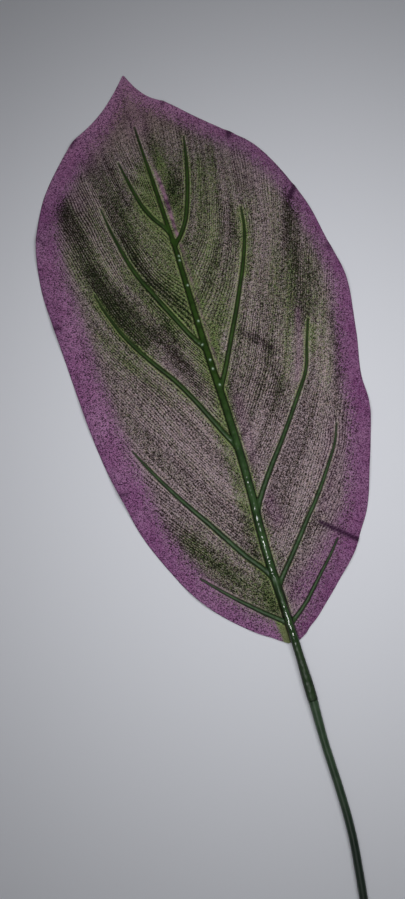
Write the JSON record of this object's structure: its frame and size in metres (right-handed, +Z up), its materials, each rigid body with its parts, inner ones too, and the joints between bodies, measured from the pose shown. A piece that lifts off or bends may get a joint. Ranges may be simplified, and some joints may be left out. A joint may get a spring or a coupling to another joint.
{
  "type": "artificial cordyline leaf",
  "caption": "Flat artificial leaf: printed cloth blade with a pointed tip and waved edges, moulded rib skeleton bonded to its back, and a long bendable stem to put in a vase or wreath.",
  "frame": {"origin": "on the flat underside of the blade, below the midrib, where the stalk leaves the blade", "axes": "+Y along the leaf from the stalk to the tip, +X to the right as one looks down on the ribs, +Z up from the surface that the leaf lies on"},
  "size_m": [0.1738, 0.5939, 0.0058],
  "materials": {
    "printed_cloth": "woven cloth printed purple, mauve and dark green",
    "rib_plastic": "glossy moulded plastic",
    "stem_plastic": "dull coated plastic with a faint sheen",
    "wire_steel": "drawn bare wire"
  },
  "bodies": {
    "root": {"blade": "printed_cloth", "rib_frame": "rib_plastic", "stem": "stem_plastic", "stem_wire": "wire_steel"}
  },
  "joints": []
}
